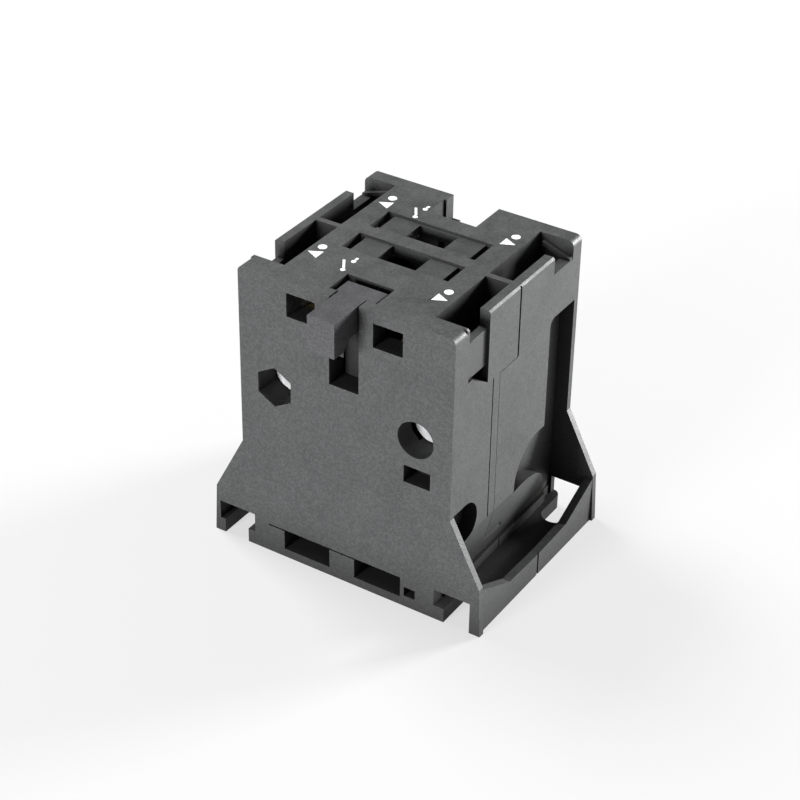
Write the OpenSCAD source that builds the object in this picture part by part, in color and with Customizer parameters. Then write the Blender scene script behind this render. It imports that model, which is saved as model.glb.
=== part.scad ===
// Interlock block with two normally closed auxiliary contacts.
// It sits between two contactors on one mounting plate. A hooked lever on each side follows one
// contactor's moving carrier, and a rocker between them lets only one lever go down.
// The two housing halves are nearly alike, the rear one turned half a turn about Z.
// Origin: centre of the base on the mounting plane. +Z up, -Y the front half's end plate.

/* [Housing] */
// Width of the body across the end plates' upper part
body_w = 45; // [44:0.5:48]
// Distance between the outer faces of the two end plates
body_d = 43.5; // [43:0.5:46]
// Height above the mounting plane
body_h = 60.5; // [60:0.5:62]
// Thickness of each end plate behind its face
plate_t = 4.5; // [4.3:0.1:4.8]
// Thickness of the wings that run out to the feet
wing_t = 1.3; // [1.2:0.1:1.8]
// Thickness of the top wall
top_t = 2.5; // [2:0.1:2.6]
// Thickness of the outer side walls
side_t = 2.1; // [1.8:0.1:2.2]

/* [Base] */
// Width across the two feet
base_w = 59; // [59:0.5:61]
// Thickness of the foot plates
foot_t = 3; // [2.5:0.1:3.2]
// Height of the feet's rim between the gussets
rim_h = 4.8; // [4:0.1:5.5]
// Thickness of the rim
rim_t = 2.1; // [1.5:0.1:2.2]
// Distance between the centre lines of the left and right fixing slots
fix_pitch_x = 49; // [48.8:0.1:49.2]
// Width of the open fixing slots, for M4 screws
fix_slot_w = 5.4; // [4.5:0.1:5.4]
// Depth of the open fixing slots from the end plate's outer face
fix_slot_l = 9.7; // [9:0.1:10]

/* [Levers] */
// Width of each lever
lever_w = 5.6; // [5:0.1:5.6]
// Vertical travel of each lever
lever_travel = 10; // [9:0.5:10]
// How far a hook stands out of its end plate
hook_reach = 7; // [6:0.5:8]
// Thickness of the hook's turned-down leg
hook_leg_t = 2.8; // [2.5:0.1:3]
// Height of the hook from its tip to the lever's top
hook_h = 7; // [6.8:0.1:8]
// Height of the lever's arm where it goes through the end plate
arm_h = 5; // [4.8:0.1:5.5]

/* [Rocker] */
// Height of the rocker's pivot above the mounting plane
pivot_z = 30; // [29:0.5:30]
// Horizontal distance from the pivot to a drive end at either limit
rocker_reach = 11; // [10.9:0.1:11.1]
// Thickness of the rocker
rocker_w = 5; // [4.5:0.1:5]
// Radius of the pivot pin
pin_r = 1.5; // [1.4:0.05:1.6]

/* [Terminals] */
// Thickness of the terminal strips
strip_t = 1; // [0.8:0.1:1]
// Distance from the centre plane to each terminal screw's axis
term_x = 18; // [17.9:0.1:18.1]
// Radius of the terminal screws' thread
term_screw_r = 1.5; // [1.4:0.05:1.5]
// Distance from the centre plane to each contact tip
tip_x = 9.5; // [9:0.1:9.6]

/* [Housing screws] */
// Distance between the two screws that hold the halves together
clamp_pitch = 30; // [29.8:0.1:30.2]
// Height of the two screws above the mounting plane
clamp_z = 37.5; // [37:0.1:38]
// Length of the screws under the head
clamp_l = 30; // [30:0.5:30.5]

/* [Hidden] */
$fn = 48;

PLASTIC = [0.27, 0.28, 0.29];
STEEL = [0.78, 0.79, 0.80];
BRASS = [0.80, 0.66, 0.36];
SILVER = [0.86, 0.86, 0.84];

over = 0.5;                        // how far a cutter runs past the face it opens
half_w = body_w / 2;
half_d = body_d / 2;
half_base = base_w / 2;
plate_in = half_d - plate_t;       // inner face of an end plate
top_in = body_h - top_t;           // underside of the top wall

// wing of the end plates
wing_z = 23.1;
foot_z = 10.4;
foot_taper = 0.5;
gusset_l = 11.2;

// central cavity and the webs that guide the levers and hold the pivot pin
cavity_w = 26.4;
cavity_floor = 8;
guide_gap = 0.3;
web_x = lever_w / 2 + guide_gap;
web_t = 2;
web_top = 37.5;

// raised middle of each side wall, and the wire entries beside it
front_block_y = 10.45;
rear_block_y = 11.8;
rear_well_y = 18.7;                // the rear end plate is thinner behind its wells
entry_z = 57;
well_x = 15.6;
well_out = half_w - side_t;
front_lid_shift = 1.9;             // the front half's lid openings run up to the parting line
rear_lid_shift = -1.7;             // the rear half's lie farther from it
panel_sink = 0.6;
panel_z = 49.6;
block_chamfer = 0.4;
seam_w = 0.25;                     // bevel each half has where the parting line shows

// the halves' overlapping tongue below the step in the parting line
tongue_l = 6.2;
tongue_z = 46;
tongue_t = 2;
fit_gap = 0.12;
clearance = 0.15;                  // round a screw's thread where it passes through plastic
press_gap = 0.02;                  // round parts that sit tight in each other

// hollows in the side walls
channel_x = 19.6;                  // depth of the hollows, from the centre plane
channel_y = 11.6;
channel_z = 47.6;
arch_y = 9.5;
arch_z = 16.3;
arch_r = 8.4;
boss_y = 4.5;                      // rounded boss that fills the lower part of the arch
boss_z = 3;
boss_r = 12.8;
nook_y = 16.6;
nook_z = 19.1;
nook_r = 4.3;
under_z = 16;
under_x = 19.8;
ledge_x = 20.6;
ledge_z = 5;

// levers
slot_z = 42.6;                     // bottom of the slot in the end plate
rear_notch_z = 55.6;               // the rear plate is open to its outer face above this height
slot_face_t = 2.5;                  // thickness of the end plate in front of the lever's head
head_left = 3.4;
head_right = 4.8;
pocket_left = 4.7;
pocket_right = 5.1;
pocket_y = 13.5;
head_y = half_d - slot_face_t - 0.15;
lever_face = plate_in - 0.15;
lever_back = 10.4;
head_back = 15.3;
lever_top = body_h - 0.1;
lever_foot = pivot_z + 1;
shoulder_z = 56.5;
window_y0 = 11.6;
window_y1 = 16.1;
window_z0 = 41.5;
window_z1 = 49.2;

// rocker: its ends sit half the travel above and below the pivot
tilt = atan(lever_travel / 2 / rocker_reach);
rocker_l = rocker_reach / cos(tilt);
end_r = 2;
end_gap = 0.2;
hub_r = 4;
neck_w = 3;

// contacts
term_y = 13.85;
strip_z = 50.5;                    // underside of the terminal strips
tip_r = 1.5;
tip_t = 0.8;
contact_gap = 0.05;
bridge_l = 22.4;
bridge_w = 3.6;
bridge_t = 0.8;
bridge_tip_t = 0.75;
bridge_z = strip_z - tip_t - contact_gap - bridge_tip_t - bridge_t;
strip_in = 7.2;
strip_w = 4;
pad_in = 15.7;
pad_out = 20.2;
pad_y0 = 10.7;
pad_y1 = 17;
spring_r = 1.5;
spring_wire = 0.4;
spring_turns = 5;

// screws, nuts and washers
clamp_r = 2;
clamp_hole_r = 2.2;
head_r = 3.5;
head_h = 2.6;
head_pocket_r = 3.7;
head_depth = 5.5;                  // from the end plate's face to the top of the head
nut_af = 7;
nut_t = 3.2;
nut_pocket_af = 7.15;
clamp_seat = half_d - head_depth - head_h;
nut_seat = clamp_l - clamp_seat - nut_t;
term_head_r = 2.3;
term_head_h = 1.9;
washer_r = 2.3;
washer_t = 0.6;
term_l = 4.9;

function af_to_r(af) = af / 2 / cos(30);
function arc(cx, cy, r, a0, a1, n) =
    [for (i = [0:n]) [cx + r * cos(a0 + (a1 - a0) * i / n), cy + r * sin(a0 + (a1 - a0) * i / n)]];

// a box given by two opposite corners
module span(a, b) {
    translate([min(a[0], b[0]), min(a[1], b[1]), min(a[2], b[2])])
        cube([abs(b[0] - a[0]), abs(b[1] - a[1]), abs(b[2] - a[2])]);
}

// a cylinder along Y from y0 to y1
module rod_y(x, z, r, y0, y1) {
    translate([x, y0, z]) rotate([-90, 0, 0]) cylinder(r = r, h = y1 - y0);
}

// a cylinder along X from x0 to x1
module rod_x(y, z, r, x0, x1) {
    translate([x0, y, z]) rotate([0, 90, 0]) cylinder(r = r, h = x1 - x0);
}

// a hexagonal prism along Y with its flats upright
module hex_y(x, z, af, y0, y1) {
    translate([x, y0, z]) rotate([-90, 0, 0]) rotate([0, 0, 30])
        cylinder(r = af_to_r(af), h = y1 - y0, $fn = 6);
}

// an outline in X and Z, extruded from y0 to y1
module plate_xz(y0, y1) {
    translate([0, y1, 0]) rotate([90, 0, 0]) linear_extrude(y1 - y0) children();
}

// an outline in Y and Z, extruded from x0 to x1
module plate_yz(x0, x1) {
    translate([x0, 0, 0]) rotate([90, 0, 90]) linear_extrude(x1 - x0) children();
}

// the rear half is the front half turned about Z
module rear() {
    rotate([0, 0, 180]) children();
}

// --- one housing half, drawn as the front half ---

module wing_outline() {
    foot_out = half_base - foot_taper;
    polygon([[half_base, 0], [foot_out, foot_z], [half_w, wing_z], [-half_w, wing_z],
             [-foot_out, foot_z], [-half_base, 0]]);
}

module end_plate_outline() {
    corner_r = 1.2;
    polygon(concat(
        [[-under_x, foot_t], [under_x, foot_t], [under_x, ledge_z], [half_w, under_z]],
        arc(half_w - corner_r, body_h - corner_r, corner_r, 0, 90, 8),
        arc(-half_w + corner_r, body_h - corner_r, corner_r, 90, 180, 8),
        [[-half_w, under_z], [-under_x, ledge_z]]));
}

module foot_rim_outline() {
    polygon([[-half_d, 0], [0, 0], [0, rim_h], [gusset_l - half_d, rim_h + 0.4], [-half_d, foot_z]]);
}

module side_block_outline() {
    polygon([[0, foot_t], [ledge_x, foot_t], [ledge_x, ledge_z], [under_x, ledge_z], [half_w, under_z],
             [half_w, body_h], [0, body_h]]);
}

module half_solid() {
    plate_xz(-half_d, wing_t - half_d) wing_outline();
    plate_xz(-half_d, -plate_in) end_plate_outline();
    span([-half_base + foot_taper, -half_d, 0], [half_base - foot_taper, 0, foot_t]);
    plate_yz(half_base - rim_t, half_base - foot_taper) foot_rim_outline();
    plate_yz(foot_taper - half_base, rim_t - half_base) foot_rim_outline();
    plate_xz(-plate_in - over, 0) side_block_outline();
    plate_xz(-plate_in - over, 0) mirror([1, 0]) side_block_outline();
    plate_xz(-over, tongue_l - fit_gap) mirror([1, 0]) tongue_outline();
}

module tongue_outline() {
    inner = half_w - tongue_t + fit_gap;
    intersection() {
        side_block_outline();
        translate([inner, under_z - 7]) square([tongue_t, tongue_z - fit_gap - under_z + 7]);
    }
}

module fixing_slots() {
    washer_x0 = 19.6;
    washer_x1 = 27.2;
    washer_z = 6.6;
    left_x0 = -28.3;
    left_x1 = -20.2;
    left_z = 7;
    slot_r = fix_slot_w / 2;
    slot_end = fix_slot_l - slot_r - half_d;
    for (s = [-1, 1]) {
        translate([s * fix_pitch_x / 2, slot_end, -over]) cylinder(r = slot_r, h = foot_t + 2 * over);
        span([s * fix_pitch_x / 2 - slot_r, -half_d - over, -over],
             [s * fix_pitch_x / 2 + slot_r, slot_end, foot_t + over]);
    }
    span([washer_x0, -half_d - over, foot_t], [washer_x1, -plate_in, washer_z]);
    span([left_x0, -half_d - over, foot_t], [left_x1, -plate_in, left_z]);
}

// rounds the corner between a slot's inner side and the end plate's face
module slot_mouth_round(s) {
    r = 1.6;
    x = fix_pitch_x / 2 - fix_slot_w / 2 - r;
    y = r - half_d;
    translate([0, 0, -over]) linear_extrude(foot_t + 2 * over)
        polygon(concat([[s * (x + r + 0.1), y - r - 0.1]],
                       [for (i = [0:6]) [s * (x + r * sin(15 * i)), y - r * cos(15 * i)]],
                       [[s * (x + r + 0.1), y]]));
}

// slot for the arm, and the wider pocket behind it for the lever's head
module lever_opening() {
    pocket_z = shoulder_z - lever_travel - 0.3;
    span([-web_x, -half_d - over, slot_z], [web_x, -plate_in + over, body_h + over]);
    span([-pocket_left, slot_face_t - half_d, pocket_z], [pocket_right, -pocket_y, body_h + over]);
}

// a pocket in the end plate's face, from the corner (x0, z0) to (x1, z1)
module face_pocket(x0, z0, x1, z1, depth) {
    span([x0, -half_d - over, z0], [x1, depth - half_d, z1]);
}

// two windows by the lever, a small pocket, two bottom slots, a square hole and a fine groove
module plate_windows() {
    for (s = [-1, 1]) {
        face_pocket(s * 6, 53.4, s * 12.1, 58.2, plate_t + over);
    }
    slot_depth = 9;
    slot_low = 1.8;
    slot_high = 6.2;
    groove = 0.3;
    face_pocket(12.7, 27.9, 18.2, 31.5, plate_t - 0.5);
    face_pocket(-13.4, slot_low, -3.2, slot_high, slot_depth);
    face_pocket(2.3, slot_low, 12.4, slot_high, slot_depth);
    face_pocket(13.2, 2.4, 15.6, 4.4, 6);
    face_pocket(-17, slot_high - groove, 2.4, slot_high, groove);
}

module top_details(shift) {
    slot_x = 10.4;
    slot_w = 1.5;
    panel_d = 0.5;
    panel_y = 7.9;
    panel_in = 1.7;
    slot_in = 1.3;
    opening_x = 4;
    opening_y = 7.4;
    opening_in = 1.8;
    translate([0, shift, 0]) {
        span([-slot_x, -panel_y, body_h - panel_d], [slot_x, -panel_in, body_h + over]);
        span([-opening_x, -opening_y, top_in - over], [opening_x, -opening_in, body_h + over]);
        for (s = [-1, 1]) {
            span([s * slot_x - slot_w / 2, -panel_y, top_in - over],
                 [s * slot_x + slot_w / 2, -slot_in, body_h + over]);
        }
    }
}

// wells over the terminals, open at the top, with a wire entry beside the end plate
module terminal_wells(block_y, well_y, sink) {
    divider = 0.6;
    strip_gap = 0.2;
    bore_l = term_l + 1;
    for (s = [-1, 1]) {
        span([s * well_x, -well_y, strip_z], [s * well_out, -divider, body_h + over]);
        span([s * well_out, -well_y, entry_z], [s * (half_w + over), -block_y, body_h + over]);
        if (sink > 0) {
            span([s * (half_w - sink), -well_y, panel_z], [s * (half_w + over), -block_y, entry_z + over]);
        }
        span([s * (cavity_w / 2 - over), -window_y1, strip_z],
             [s * (well_x + over), -window_y0, strip_z + strip_t + strip_gap]);
        translate([s * term_x, -term_y, strip_z - bore_l + over])
            cylinder(r = term_screw_r + clearance, h = bore_l);
    }
}

// bevel along the outer top edge of the side walls
module block_chamfers() {
    for (s = [-1, 1]) {
        plate_xz(-half_d - over, over)
            polygon([[s * (half_w - block_chamfer), body_h + 0.01], [s * (half_w + 1), body_h + 1],
                     [s * (half_w + 0.01), body_h - block_chamfer]]);
    }
}

// bevels that make the parting line show on the side walls, the feet's rims and the top
module seam_bevels() {
    for (s = [-1, 1]) {
        span([s * (half_w - seam_w), -seam_w, tongue_z], [s * (half_w + over), over, body_h + over]);
        span([s * (half_base - foot_taper - seam_w), -seam_w, -over],
             [s * (half_base + over), over, rim_h + over]);
    }
}

module clamp_bores() {
    x = clamp_pitch / 2;
    for (s = [-1, 1]) {
        rod_y(s * x, clamp_z, clamp_hole_r, -half_d - over, over);
    }
    rod_y(x, clamp_z, head_pocket_r, -half_d - over, -clamp_seat);
    hex_y(-x, clamp_z, nut_pocket_af, -half_d - over, -nut_seat);
}

// right side of the front half: closed wall with a round nook by the foot and the step for the tongue
module right_side_cuts(block_y) {
    fan_y = 15.9;
    fan_z = 46.2;
    bead_y = 8.6;
    bead_w = 0.3;
    rod_x(-nook_y, nook_z, nook_r, channel_x, half_w + over);
    span([channel_x, wing_t - half_d, nook_z - nook_r], [half_w + over, -nook_y, nook_z + nook_r]);
    span([half_w - tongue_t, -tongue_l, foot_t], [half_w + over, over, tongue_z]);
    plate_yz(well_out - 1, half_w + over)
        polygon([[-fan_y, panel_z], [-block_y, panel_z], [-block_y, fan_z]]);
    span([half_w - bead_w, -bead_y, under_z], [half_w + over, bead_w - bead_y, tongue_z]);
}

// left side of the front half: a driver channel beside the end plate that widens into an arch by the foot
module left_side_cuts() {
    round_r = 1.6;
    back = half_d - wing_t;
    difference() {
        union() {
            plate_yz(-half_w - over, -channel_x)
                polygon(concat([[-back, ledge_z], [-channel_y, ledge_z]],
                               arc(-channel_y - round_r, channel_z - round_r, round_r, 0, 90, 6),
                               [[-back, channel_z]]));
            rod_x(-arch_y, arch_z, arch_r, -half_w - over, -channel_x);
            span([-half_w - over, -back, ledge_z], [-channel_x, -arch_y, arch_z + arch_r]);
        }
        rod_x(-boss_y, boss_z, boss_r, -half_w - 1, -channel_x + 1);
    }
}

// hollows in the mating face that keep the side walls thin
module core_pockets() {
    inner_x = 15;
    low_out = 17.6;
    low_y = 8.6;
    low_z0 = 6;
    low_z1 = 31.5;
    high_out = 20;
    high_y = 9.4;
    high_z0 = 43.5;
    high_z1 = 48.8;
    for (s = [-1, 1]) {
        span([s * inner_x, -low_y, low_z0], [s * low_out, over, low_z1]);
        span([s * inner_x, -high_y, high_z0], [s * high_out, over, high_z1]);
    }
}

module half_housing(block_y, well_y, sink, lid_shift) {
    color(PLASTIC) union() {
        difference() {
            half_solid();
            span([-cavity_w / 2, -plate_in, cavity_floor], [cavity_w / 2, over, top_in]);
            fixing_slots();
            plate_windows();
            top_details(lid_shift);
            terminal_wells(block_y, well_y, sink);
            block_chamfers();
            seam_bevels();
            lever_opening();
            right_side_cuts(block_y);
            left_side_cuts();
            core_pockets();
            clamp_bores();
        }
        for (s = [-1, 1]) {
            guide_web(s);
        }
        corner_ledges(well_y);
    }
}

module front_half() {
    half_housing(front_block_y, plate_in, panel_sink, front_lid_shift);
}

// the rear half's wells run deeper, its blocks are longer and its end plate is open round the slot
module rear_half() {
    color(PLASTIC) difference() {
        half_housing(rear_block_y, rear_well_y, 0, rear_lid_shift);
        span([-pocket_right, -half_d - over, rear_notch_z], [pocket_left, -pocket_y, body_h + over]);
        for (s = [-1, 1]) {
            slot_mouth_round(s);
        }
    }
}

module guide_web(s) {
    difference() {
        span([s * web_x, -plate_in - over, cavity_floor - over], [s * (web_x + web_t), 0, web_top]);
        rod_x(0, pivot_z, pin_r + press_gap, -cavity_w, cavity_w);
    }
}

// sloping ledges against the end plate that lead a wire into the clamp
module corner_ledges(well_y) {
    ledge_out = 1.1;
    ledge_t = 0.8;
    inner_x = well_x + 1;
    outer_x = half_w - 0.1;
    low = 57.4;
    high = 59.3;
    for (s = [-1, 1]) {
        plate_xz(-well_y - over, -well_y + ledge_out)
            polygon([[s * inner_x, high], [s * outer_x, low], [s * outer_x, low - ledge_t],
                     [s * inner_x, high - ledge_t]]);
    }
}

// --- moving parts ---

module lever_outline() {
    hook_out = -half_d - hook_reach;
    tip_z = lever_top - hook_h;
    arm_z = lever_top - arm_h;
    corner_r = 3;
    leg_in = hook_out + hook_leg_t;
    polygon(concat(
        [[hook_out, tip_z], [hook_out, lever_top], [-head_back, lever_top], [-head_back, shoulder_z],
         [-lever_back, shoulder_z], [-lever_back, lever_foot], [-lever_face, lever_foot], [-lever_face, arm_z]],
        arc(leg_in + corner_r, arm_z - corner_r, corner_r, 90, 180, 6),
        [[leg_in, tip_z]]));
}

module lever() {
    color(PLASTIC) difference() {
        union() {
            plate_yz(-lever_w / 2, lever_w / 2) lever_outline();
            span([-head_left, -head_y, shoulder_z], [head_right, -head_back, lever_top]);
        }
        span([-lever_w, -window_y1, window_z0], [lever_w, -window_y0, window_z1]);
        drive_z = pivot_z + lever_travel / 2;
        half_slot = end_r + end_gap;
        span([-lever_w, -rocker_l - half_slot, drive_z - half_slot],
             [lever_w, -lever_back + over, drive_z + half_slot]);
    }
}

module bridge() {
    color(BRASS) span([-bridge_l / 2, -term_y - bridge_w / 2, bridge_z],
                      [bridge_l / 2, -term_y + bridge_w / 2, bridge_z + bridge_t]);
}

module bridge_tips() {
    color(SILVER) for (s = [-1, 1]) {
        translate([s * tip_x, -term_y, bridge_z + bridge_t]) cylinder(r = tip_r, h = bridge_tip_t);
    }
}

// the coil that presses the bridge up inside the lever's window, as stacked rings
module contact_spring() {
    rise = (bridge_z - window_z0 - spring_wire) / (2 * spring_turns - 1);
    color(STEEL) union() {
        for (i = [0:2 * spring_turns - 1]) {
            translate([0, -term_y, window_z0 + spring_wire / 2 + i * rise])
                rotate_extrude() translate([spring_r, 0]) circle(r = spring_wire / 2, $fn = 13);
        }
        difference() {
            translate([0, -term_y, window_z0]) cylinder(r = spring_r + 0.1, h = bridge_z - window_z0);
            translate([0, -term_y, window_z0 - over]) cylinder(r = spring_r - 0.1, h = bridge_z);
        }
    }
}

module rocker() {
    color("gainsboro") difference() {
        translate([0, 0, pivot_z]) rotate([-tilt, 0, 0]) rocker_beam();
        rod_x(0, pivot_z, pin_r + 0.05, -rocker_w, rocker_w);
    }
}

module rocker_beam() {
    plate_yz(-rocker_w / 2, rocker_w / 2) {
        circle(r = hub_r);
        for (s = [-1, 1]) {
            translate([s * rocker_l, 0]) circle(r = end_r);
        }
        translate([-rocker_l, -neck_w / 2]) square([2 * rocker_l, neck_w]);
    }
}

module rocker_pin() {
    color(STEEL) rod_x(0, pivot_z, pin_r, -web_x - web_t, web_x + web_t);
}

// --- contacts and terminals ---

// s = 1 for the right terminal of the front half, -1 for the left one
module terminal(s) {
    color(BRASS) difference() {
        union() {
            span([s * pad_in, -pad_y1, strip_z], [s * pad_out, -pad_y0, strip_z + strip_t]);
            span([s * strip_in, -term_y - strip_w / 2, strip_z],
                 [s * (pad_in + over), -term_y + strip_w / 2, strip_z + strip_t]);
        }
        translate([s * term_x, -term_y, strip_z - over])
            cylinder(r = term_screw_r + press_gap, h = strip_t + 2 * over);
    }
}

module both_halves() {
    children();
    rear() children();
}

module fixed_tips() {
    color(SILVER) both_halves() for (s = [-1, 1]) {
        translate([s * tip_x, -term_y, strip_z - tip_t]) cylinder(r = tip_r, h = tip_t);
    }
}

module clamp_washers() {
    color(STEEL) both_halves() for (s = [-1, 1]) {
        translate([s * term_x, -term_y, strip_z + strip_t]) difference() {
            cylinder(r = washer_r - 0.1, h = washer_t);
            translate([0, 0, -over]) cylinder(r = term_screw_r + 0.1, h = washer_t + 2 * over);
        }
    }
}

module terminal_screws() {
    head_z = strip_z + strip_t + washer_t;
    slot_w = 0.9;
    color(STEEL) both_halves() for (s = [-1, 1]) {
        translate([s * term_x, -term_y, 0]) difference() {
            union() {
                translate([0, 0, head_z]) cylinder(r = term_head_r - 0.1, h = term_head_h);
                translate([0, 0, head_z - term_l]) cylinder(r = term_screw_r, h = term_l + over);
            }
            span([-4, -slot_w / 2, head_z + 1], [4, slot_w / 2, head_z + term_head_h + over]);
            span([-slot_w / 2, -2, head_z + 1], [slot_w / 2, 2, head_z + term_head_h + over]);
        }
    }
}

module housing_screws() {
    slot_w = 1.1;
    x = clamp_pitch / 2;
    color(STEEL) both_halves() difference() {
        union() {
            rod_y(x, clamp_z, head_r, -clamp_seat - head_h, -clamp_seat);
            rod_y(x, clamp_z, clamp_r, -clamp_seat - over, clamp_l - clamp_seat);
        }
        translate([x, -clamp_seat - head_h, clamp_z]) rotate([0, 40, 0])
            span([-4, -over, -slot_w / 2], [4, 1.2, slot_w / 2]);
    }
}

module housing_nuts() {
    x = -clamp_pitch / 2;
    color(STEEL) both_halves() difference() {
        hex_y(x, clamp_z, nut_af, -nut_seat - nut_t, -nut_seat);
        rod_y(x, clamp_z, clamp_r + press_gap, -half_d, half_d);
    }
}

front_half();  // front_housing
rear() rear_half();  // rear_housing
lever();  // front_lever
translate([0, 0, -lever_travel]) rear() lever();  // rear_lever
rocker();
rocker_pin();
bridge();  // front_bridge
translate([0, 0, -lever_travel]) rear() bridge();  // rear_bridge
bridge_tips();  // front_bridge_tips
translate([0, 0, -lever_travel]) rear() bridge_tips();  // rear_bridge_tips
contact_spring();  // front_contact_spring
translate([0, 0, -lever_travel]) rear() contact_spring();  // rear_contact_spring
terminal(-1);  // front_left_terminal
terminal(1);  // front_right_terminal
rear() terminal(1);  // rear_left_terminal
rear() terminal(-1);  // rear_right_terminal
fixed_tips();
terminal_screws();
clamp_washers();
housing_screws();
housing_nuts();
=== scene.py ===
"""Interlock block with two auxiliary contacts: materials, printed marks, studio light and camera.

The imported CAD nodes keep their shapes. Each gets small rounded edges and a procedural material. The
springs, the nuts and the printed marks are pieces made here. Lengths are in metres.
"""
import math

import bmesh
import bpy
from mathutils import Matrix, Vector


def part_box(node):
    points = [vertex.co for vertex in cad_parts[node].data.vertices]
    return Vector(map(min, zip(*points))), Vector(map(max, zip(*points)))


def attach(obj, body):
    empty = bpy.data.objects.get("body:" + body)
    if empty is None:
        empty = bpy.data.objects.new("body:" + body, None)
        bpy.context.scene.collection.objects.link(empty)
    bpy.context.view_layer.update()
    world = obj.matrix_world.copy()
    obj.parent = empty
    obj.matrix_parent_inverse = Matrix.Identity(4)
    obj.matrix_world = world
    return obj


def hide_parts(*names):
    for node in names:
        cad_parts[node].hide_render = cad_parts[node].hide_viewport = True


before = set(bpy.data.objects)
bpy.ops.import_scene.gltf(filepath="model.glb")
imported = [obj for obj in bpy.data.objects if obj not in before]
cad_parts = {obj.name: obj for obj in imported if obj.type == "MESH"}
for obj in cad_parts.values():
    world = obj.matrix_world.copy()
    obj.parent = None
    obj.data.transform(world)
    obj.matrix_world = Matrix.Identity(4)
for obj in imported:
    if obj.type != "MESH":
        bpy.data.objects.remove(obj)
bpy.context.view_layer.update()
MM = 0.001
DUST = (0.22, 0.22, 0.215)
# Near-black painted shade that the plastics take on in deep recesses.
PAINTED_RECESS_SHADE = (0.018, 0.018, 0.0175)


# --- camera and light ---

def make_camera():
    """The camera stands to the right of the front end plate and looks down on the block."""
    azimuth = math.radians(32.219)
    elevation = math.radians(33.547)
    roll = math.radians(1.01)
    place = Vector((175.8, -282.15, 248.8)) * MM
    back = Vector((math.sin(azimuth) * math.cos(elevation), -math.cos(azimuth) * math.cos(elevation),
                   math.sin(elevation)))
    right = Vector((math.cos(azimuth), math.sin(azimuth), 0))
    up = back.cross(right)
    rolled_right = right * math.cos(roll) + up * math.sin(roll)
    rolled_up = up * math.cos(roll) - right * math.sin(roll)
    data = bpy.data.cameras.new("camera")
    data.sensor_width = 36
    data.lens = 96.5
    data.clip_start = 0.01
    camera = bpy.data.objects.new("camera", data)
    bpy.context.scene.collection.objects.link(camera)
    turn = Matrix((rolled_right, rolled_up, back)).transposed()
    camera.matrix_world = Matrix.Translation(place) @ turn.to_4x4()
    bpy.context.scene.camera = camera


def make_softbox(name, azimuth, elevation, distance, size, power):
    """A square area light. Azimuth 0 is straight in front of the block, 90 to its right, in degrees."""
    turn, rise = math.radians(azimuth), math.radians(elevation)
    aim = Vector((0, 0, 30)) * MM
    away = Vector((math.sin(turn) * math.cos(rise), -math.cos(turn) * math.cos(rise), math.sin(rise)))
    data = bpy.data.lights.new(name, "AREA")
    data.shape = "SQUARE"
    data.size = size
    data.energy = power
    lamp = bpy.data.objects.new(name, data)
    bpy.context.scene.collection.objects.link(lamp)
    lamp.location = aim + away * distance
    lamp.rotation_euler = away.to_track_quat("Z", "Y").to_euler()


def make_studio():
    """A dim, even world, a light in front, a key light behind on the right and one high on the left."""
    world = bpy.data.worlds.new("studio")
    bpy.context.scene.world = world
    world.use_nodes = True
    sky = world.node_tree.nodes["Background"]
    sky.inputs["Color"].default_value = (0.98, 0.99, 1, 1)
    sky.inputs["Strength"].default_value = 0.16
    make_softbox("front", azimuth=-9, elevation=13, distance=0.8, size=0.2, power=8.3)
    make_softbox("key_right", azimuth=148, elevation=9, distance=1.1, size=0.3, power=36)
    make_softbox("top_left", azimuth=-100, elevation=50, distance=1, size=0.4, power=10.8)
    bpy.context.scene.view_settings.view_transform = "Standard"


def make_floor():
    """A pale floor that glows a little, so that it stays near white in soft light."""
    reach = 3
    mesh = bpy.data.meshes.new("floor")
    corners = [(-reach, -reach, 0), (reach, -reach, 0), (reach, reach, 0), (-reach, reach, 0)]
    mesh.from_pydata(corners, [], [(0, 1, 2, 3)])
    floor = bpy.data.objects.new("floor", mesh)
    bpy.context.scene.collection.objects.link(floor)
    material, _, shader = new_material("studio_floor")
    shader.inputs["Base Color"].default_value = (0.18, 0.18, 0.18, 1)
    shader.inputs["Roughness"].default_value = 0.9
    shader.inputs["Emission Color"].default_value = (1, 1, 1, 1)
    shader.inputs["Emission Strength"].default_value = 0.62
    floor.data.materials.append(material)


# --- materials ---

def new_material(name):
    """A new material, its node tree and its shader."""
    material = bpy.data.materials.new(name)
    material.use_nodes = True
    tree = material.node_tree
    return material, tree, tree.nodes["Principled BSDF"]


def noise(tree, scale, detail=3.0, rough=0.5, stretch=(1, 1, 1)):
    """Noise over the piece's own space; scale is in features per metre."""
    place = tree.nodes.new("ShaderNodeTexCoord")
    spread = tree.nodes.new("ShaderNodeMapping")
    spread.inputs["Scale"].default_value = stretch
    texture = tree.nodes.new("ShaderNodeTexNoise")
    texture.inputs["Scale"].default_value = scale
    texture.inputs["Detail"].default_value = detail
    texture.inputs["Roughness"].default_value = rough
    tree.links.new(place.outputs["Object"], spread.inputs["Vector"])
    tree.links.new(spread.outputs["Vector"], texture.inputs["Vector"])
    return texture.outputs["Fac"]


def ramp(tree, source, low, high, start=0.3, end=0.7):
    """Colours between low and high as the source goes from start to end."""
    node = tree.nodes.new("ShaderNodeValToRGB")
    node.color_ramp.elements[0].position = start
    node.color_ramp.elements[0].color = (*low, 1)
    node.color_ramp.elements[1].position = end
    node.color_ramp.elements[1].color = (*high, 1)
    tree.links.new(source, node.inputs["Fac"])
    return node.outputs["Color"]


def spread_value(tree, source, low, high, start=0.3, end=0.7):
    """A number between low and high as the source goes from start to end."""
    node = tree.nodes.new("ShaderNodeMapRange")
    node.inputs["From Min"].default_value = start
    node.inputs["From Max"].default_value = end
    node.inputs["To Min"].default_value = low
    node.inputs["To Max"].default_value = high
    tree.links.new(source, node.inputs["Value"])
    return node.outputs["Result"]


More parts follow.
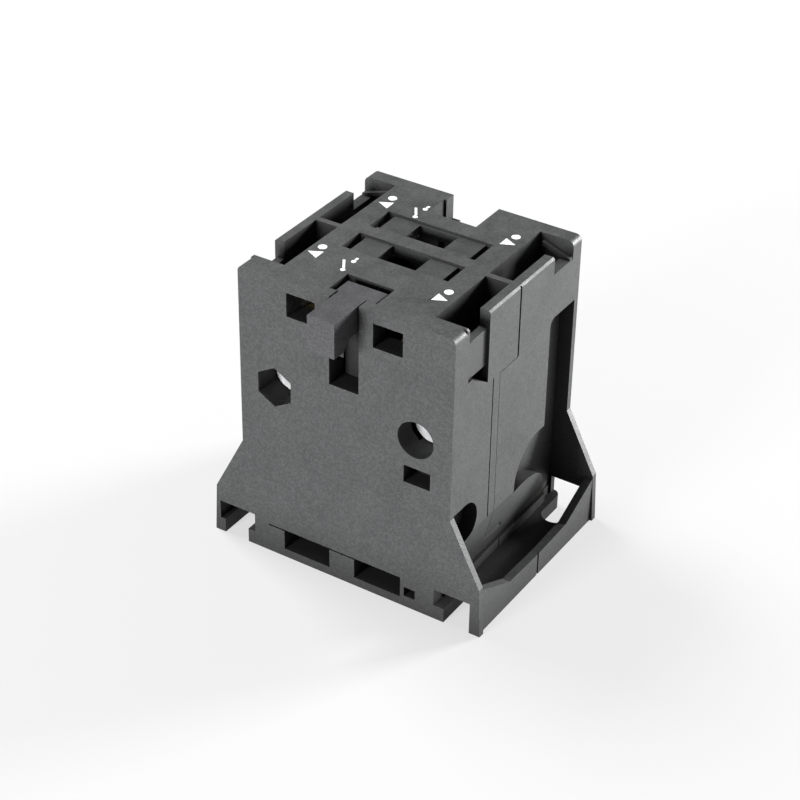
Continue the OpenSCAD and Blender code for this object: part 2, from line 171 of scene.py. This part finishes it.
def bump(tree, shader, sources):
    """Adds bumps one on another; each source is (height, distance in metres, strength)."""
    normal = None
    for height, distance, strength in sources:
        node = tree.nodes.new("ShaderNodeBump")
        node.inputs["Distance"].default_value = distance
        node.inputs["Strength"].default_value = strength
        tree.links.new(height, node.inputs["Height"])
        if normal is not None:
            tree.links.new(normal, node.inputs["Normal"])
        normal = node.outputs["Normal"]
    tree.links.new(normal, shader.inputs["Normal"])


def mix(tree, factor, first, second):
    """A blend of two colours. Each argument is a constant or another node's output."""
    node = tree.nodes.new("ShaderNodeMix")
    node.data_type = "RGBA"
    for name, value in (("Factor", factor), ("A", first), ("B", second)):
        socket = next(s for s in node.inputs if s.name == name and s.enabled)
        if isinstance(value, (float, int)):
            socket.default_value = value
        elif isinstance(value, tuple):
            socket.default_value = (*value, 1)
        else:
            tree.links.new(value, socket)
    return next(s for s in node.outputs if s.enabled)


def upward(tree):
    """1 where the surface faces up, 0 where it doesn't, for dust."""
    facing = tree.nodes.new("ShaderNodeNewGeometry")
    parts = tree.nodes.new("ShaderNodeSeparateXYZ")
    tree.links.new(facing.outputs["Normal"], parts.inputs["Vector"])
    return spread_value(tree, parts.outputs["Z"], 0.0, 1.0, start=0.6, end=0.98)


def openness(tree, reach, start, end):
    """How open the surface's surroundings are within reach: 0 in deep recesses, 1 on outer faces."""
    node = tree.nodes.new("ShaderNodeAmbientOcclusion")
    node.samples = 8
    node.inputs["Distance"].default_value = reach
    return spread_value(tree, node.outputs["AO"], 0.0, 1.0, start, end)


def moulded_plastic(name, dark, light, rough=(0.42, 0.6)):
    """Glass-filled moulding: cloudy colour, spark-eroded grain, faint flow marks, dust, and painted shade
    in deep recesses.
    """
    material, tree, shader = new_material(name)
    clouds = noise(tree, 160, detail=5, rough=0.62)
    flow = noise(tree, 60, detail=4, rough=0.55, stretch=(1, 1, 0.35))
    speck = noise(tree, 2600, detail=2)
    grain = noise(tree, 5200, rough=0.7)
    base = ramp(tree, clouds, dark, light, start=0.28, end=0.72)
    streaks = ramp(tree, flow, dark, light, start=0.35, end=0.65)
    streaked = mix(tree, 0.35, base, streaks)
    dark_speck = tuple(0.7 * value for value in dark)
    light_speck = tuple(1.25 * value for value in light)
    specks = ramp(tree, speck, dark_speck, light_speck, start=0.38, end=0.66)
    specked = mix(tree, 0.5, streaked, specks)
    patches = noise(tree, 420, detail=6, rough=0.7)
    dust_amount = tree.nodes.new("ShaderNodeMath")
    dust_amount.operation = "MULTIPLY"
    tree.links.new(upward(tree), dust_amount.inputs[0])
    tree.links.new(spread_value(tree, patches, 0, 0.16, start=0.42, end=0.8), dust_amount.inputs[1])
    dusty = mix(tree, dust_amount.outputs["Value"], specked, DUST)
    # Painted shade: where ambient occlusion finds a deep recess, the colour goes to near-black and the
    # specular level drops.
    open_share = openness(tree, reach=18 * MM, start=0.35, end=0.85)
    roughness = spread_value(tree, clouds, rough[0], rough[1])
    gloss = spread_value(tree, open_share, 0.1, 0.42, start=0, end=1)
    tree.links.new(mix(tree, open_share, PAINTED_RECESS_SHADE, dusty), shader.inputs["Base Color"])
    tree.links.new(roughness, shader.inputs["Roughness"])
    tree.links.new(gloss, shader.inputs["Specular IOR Level"])
    bump(tree, shader, [(flow, 0.25 * MM, 0.25), (speck, 0.05 * MM, 0.4), (grain, 0.06 * MM, 0.5)])
    return material


def metal(name, dark, light, rough=(0.22, 0.4), brushed=(1, 1, 1), spots=None, metallic=1.0):
    """Plated or rolled metal: cloudy tone, grain that brushed can draw out, and spots of wear."""
    material, tree, shader = new_material(name)
    tone = noise(tree, 500, detail=5, rough=0.6)
    lines = noise(tree, 1500, detail=4, stretch=brushed)
    clouded = ramp(tree, tone, dark, light)
    base = mix(tree, 0.4, clouded, ramp(tree, lines, dark, light))
    if spots is not None:
        stains = noise(tree, 900, detail=6, rough=0.75)
        wear = spread_value(tree, stains, 0, 0.6, start=0.56, end=0.74)
        base = mix(tree, wear, base, spots)
    tree.links.new(base, shader.inputs["Base Color"])
    shader.inputs["Metallic"].default_value = metallic
    tree.links.new(spread_value(tree, tone, rough[0], rough[1]), shader.inputs["Roughness"])
    bump(tree, shader, [(lines, 0.02 * MM, 0.35), (tone, 0.03 * MM, 0.2)])
    return material


def printed_ink():
    """White tampo print, a little thin and broken where the moulding's grain stands through it."""
    material, tree, shader = new_material("white_print")
    thin = noise(tree, 1800, detail=4, rough=0.7)
    white = ramp(tree, thin, (0.55, 0.56, 0.56), (0.92, 0.93, 0.92), end=0.5)
    tree.links.new(white, shader.inputs["Base Color"])
    shader.inputs["Roughness"].default_value = 0.55
    bump(tree, shader, [(thin, 0.03 * MM, 0.4)])
    return material


# --- pieces made here ---

def add_piece(name, mesh, body, material):
    """A new piece that rides on a body."""
    piece = bpy.data.objects.new(name, mesh)
    bpy.context.scene.collection.objects.link(piece)
    piece.data.materials.append(material)
    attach(piece, body)
    return piece


def finish_mesh(name, build):
    """Turns what was built into a mesh."""
    mesh = bpy.data.meshes.new(name)
    build.normal_update()
    build.to_mesh(mesh)
    build.free()
    return mesh


def swept_tube(name, path, radius, sides=10):
    """A closed round tube along a list of points, with flat ends."""
    build = bmesh.new()
    rings = []
    count = len(path)
    for i, point in enumerate(path):
        along = (path[min(i + 1, count - 1)] - path[max(i - 1, 0)]).normalized()
        side = along.cross(Vector((0, 0, 1))).normalized()
        over = side.cross(along)
        ring = []
        for j in range(sides):
            angle = 2 * math.pi * j / sides
            ring.append(build.verts.new(point + (side * math.cos(angle) + over * math.sin(angle)) * radius))
        rings.append(ring)
    for first, second in zip(rings, rings[1:]):
        for j in range(sides):
            k = (j + 1) % sides
            build.faces.new((first[j], first[k], second[k], second[j])).smooth = True
    build.faces.new(list(reversed(rings[0])))
    build.faces.new(rings[-1])
    bmesh.ops.recalc_face_normals(build, faces=build.faces)
    return finish_mesh(name, build)


def make_spring(node, body, material):
    """A real coil in place of the CAD's ringed sleeve, with its turns closer together at both ends."""
    wire = 0.4 * MM
    turns = 6.5
    steps = 22
    even_share = 0.35
    low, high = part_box(node)
    centre = (low + high) / 2
    radius = (high.x - low.x) / 2 - wire / 2
    height = high.z - low.z - wire
    path = []
    total = int(turns * steps)
    for i in range(total + 1):
        along = i / total
        angle = 2 * math.pi * turns * along
        ease = along * along * (3 - 2 * along)
        rise = height * (even_share * along + (1 - even_share) * ease)
        path.append(Vector((centre.x + radius * math.cos(angle), centre.y + radius * math.sin(angle),
                            low.z + wire / 2 + rise)))
    name = node + "_coil"
    piece = add_piece(name, swept_tube(name, path, wire / 2), body, material)
    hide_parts(node)


def make_nuts(material):
    """Two hexagonal nuts with chamfered corners and a countersunk bore, in place of the plain ones."""
    flats = 7 * MM
    bore = 3.3 * MM
    thickness = 3.2 * MM
    low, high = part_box("housing_nuts")
    centre_x = (high.x - low.x) / 2 - flats / 2
    centre_z = (low.z + high.z) / 2
    build = bmesh.new()
    for side in (-1, 1):
        outer_y = low.y if side < 0 else high.y
        inner_y = outer_y - side * thickness
        add_nut(build, Vector((side * centre_x, 0, centre_z)), outer_y, inner_y, flats, bore)
    name = "housing_nuts_chamfered"
    piece = add_piece(name, finish_mesh(name, build), "housing", material)
    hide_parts("housing_nuts")


def add_nut(build, centre, outer_y, inner_y, flats, bore, around=48):
    """One nut between two places on Y, as rings of points: bore, face, chamfer, flats and back."""
    corner = flats / math.sqrt(3)
    face_share = 0.97
    face_r = flats / 2 * face_share
    chamfer = 0.45 * MM
    sink = 0.35 * MM
    way = 1 if inner_y > outer_y else -1

    def hexagon(angle):
        """Distance to the hexagon's edge; its flats stand upright, to the left and right."""
        within = (angle + math.pi / 6) % (math.pi / 3) - math.pi / 6
        return flats / 2 / math.cos(within)

    def rim_point(angle, r, y):
        return build.verts.new((centre.x + r * math.cos(angle), y, centre.z + r * math.sin(angle)))

    def ring(y, r):
        return [rim_point(2 * math.pi * i / around, r, y) for i in range(around)]

    def cut_back(angle):
        """How deep the chamfer goes: 1 at the corners, and least in the middle of a flat."""
        return (hexagon(angle) - face_r) / (corner - face_r)

    def side_ring(from_y, sign):
        """The hexagon's outline where the chamfer meets the flats."""
        points = []
        for i in range(around):
            angle = 2 * math.pi * i / around
            r = hexagon(angle)
            points.append(rim_point(angle, r, from_y + sign * chamfer * cut_back(angle)))
        return points

    rings = [
        ring(outer_y + way * sink, bore / 2),
        ring(outer_y, bore / 2 + sink),
        ring(outer_y, face_r),
        side_ring(outer_y, way),
        side_ring(inner_y, -way),
        ring(inner_y, face_r),
        ring(inner_y, bore / 2 + sink),
        ring(inner_y - way * sink, bore / 2),
    ]
    rings.append(rings[0])
    for first, second in zip(rings, rings[1:]):
        for i in range(around):
            j = (i + 1) % around
            build.faces.new((first[i], first[j], second[j], second[i]))
    bmesh.ops.recalc_face_normals(build, faces=build.faces)


def printed_shapes(name, shapes, place, size, proud=0.03 * MM):
    """Flat shapes that start just below the top face and stand proud of it. u runs along +Y, v along -X."""
    build = bmesh.new()
    for points in shapes:
        flat = [(place.x - v * size, place.y + u * size) for u, v in points]
        lower = [build.verts.new((x, y, place.z - proud)) for x, y in flat]
        upper = [build.verts.new((x, y, place.z + proud)) for x, y in flat]
        build.faces.new(upper)
        build.faces.new(list(reversed(lower)))
        for i in range(len(flat)):
            k = (i + 1) % len(flat)
            build.faces.new((lower[i], lower[k], upper[k], upper[i]))
    bmesh.ops.recalc_face_normals(build, faces=build.faces)
    return finish_mesh(name, build)


def disc(u, v, r, sides=20):
    """A round dot's outline."""
    return [(u + r * math.cos(2 * math.pi * i / sides), v + r * math.sin(2 * math.pi * i / sides))
            for i in range(sides)]


def bar(u0, v0, u1, v1, width=0.17):
    """A straight stroke's outline from one point to another."""
    along = Vector((u1 - u0, v1 - v0)).normalized() * width / 2
    return [(u0 - along.y, v0 + along.x), (u0 + along.y, v0 - along.x),
            (u1 + along.y, v1 - along.x), (u1 - along.y, v1 + along.x)]


# Plain signs, not letters: a pointer and a dot for each terminal, and a lifted blade for a contact.
TERMINAL_IN = [[(-0.8, -0.42), (0.1, -0.42), (-0.35, 0.48)], disc(0.58, 0, 0.3)]
TERMINAL_OUT = [[(-0.8, 0.42), (-0.35, -0.48), (0.1, 0.42)], disc(0.58, 0, 0.3)]
CONTACT = [disc(-0.72, -0.2, 0.17), bar(-0.5, -0.12, 0.35, 0.42),
           disc(0.5, -0.2, 0.17), bar(0.72, -0.2, 1, -0.2)]


def make_marks(material):
    """Three white signs on the top of each half, all read from the right. Places are in millimetres."""
    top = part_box("front_housing")[1].z
    mark_size = 2.8 * MM
    marks = [
        ("front_left_mark", TERMINAL_IN, (-13.7, -9.8)),
        ("front_contact_mark", CONTACT, (-6.8, -10.8)),
        ("front_right_mark", TERMINAL_OUT, (13.2, -10.6)),
        ("rear_left_mark", TERMINAL_IN, (-13.3, 12.5)),
        ("rear_contact_mark", CONTACT, (-6.6, 12.5)),
        ("rear_right_mark", TERMINAL_OUT, (13.0, 12.7)),
    ]
    for name, shapes, (x, y) in marks:
        mesh = printed_shapes(name, shapes, Vector((x * MM, y * MM, top)), mark_size)
        add_piece(name, mesh, "housing", material)


# --- CAD nodes: rounded edges and materials ---

def round_edges(node, width, segments):
    """Bevels each edge sharper than sharp_angle; the faces are shaded smooth around it."""
    sharp_angle = math.radians(28)
    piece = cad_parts[node]
    for polygon in piece.data.polygons:
        polygon.use_smooth = True
    bevel = piece.modifiers.new("rounded_edges", "BEVEL")
    bevel.width = width
    bevel.segments = segments
    bevel.limit_method = "ANGLE"
    bevel.angle_limit = sharp_angle
    bevel.use_clamp_overlap = True
    bevel.harden_normals = True
    return piece


def dress(nodes, material, width, segments=2):
    """Gives CAD nodes rounded edges and one material."""
    for node in nodes:
        piece = round_edges(node, width, segments)
        piece.data.materials.clear()
        piece.data.materials.append(material)


def dress_all():
    """Makes the materials, and gives them to the CAD nodes and to the pieces made here."""
    housing = moulded_plastic("housing_plastic", (0.036, 0.037, 0.038), (0.06, 0.061, 0.062))
    lever = moulded_plastic("lever_plastic", (0.042, 0.042, 0.045), (0.066, 0.066, 0.07),
                            rough=(0.36, 0.52))
    rocker = moulded_plastic("rocker_plastic", (0.05, 0.052, 0.04), (0.08, 0.082, 0.066),
                             rough=(0.3, 0.42))
    zinc = metal("zinc_plating", (0.72, 0.73, 0.74), (0.93, 0.93, 0.94), rough=(0.3, 0.45),
                 spots=(0.5, 0.51, 0.54), metallic=0.5)
    brass = metal("rolled_brass", (0.55, 0.42, 0.2), (0.78, 0.63, 0.34), brushed=(0.15, 1, 1),
                  spots=(0.36, 0.25, 0.13))
    silver = metal("contact_silver", (0.72, 0.71, 0.68), (0.93, 0.92, 0.9), rough=(0.3, 0.5),
                   spots=(0.3, 0.28, 0.26))
    wire = metal("spring_wire", (0.42, 0.42, 0.44), (0.66, 0.66, 0.68), rough=(0.25, 0.38))
    dress(["front_housing", "rear_housing"], housing, 0.16 * MM)
    dress(["front_lever", "rear_lever"], lever, 0.3 * MM, 3)
    dress(["rocker"], rocker, 0.25 * MM)
    dress(["rocker_pin", "terminal_screws", "clamp_washers", "housing_screws"], zinc, 0.12 * MM)
    dress(["front_bridge", "rear_bridge", "front_left_terminal", "front_right_terminal",
           "rear_left_terminal", "rear_right_terminal"], brass, 0.1 * MM)
    dress(["front_bridge_tips", "rear_bridge_tips", "fixed_tips"], silver, 0.12 * MM)
    for side in ("front", "rear"):
        make_spring(side + "_contact_spring", side + "_lever", wire)
    make_nuts(zinc)
    make_marks(printed_ink())


make_camera()
make_studio()
make_floor()
dress_all()
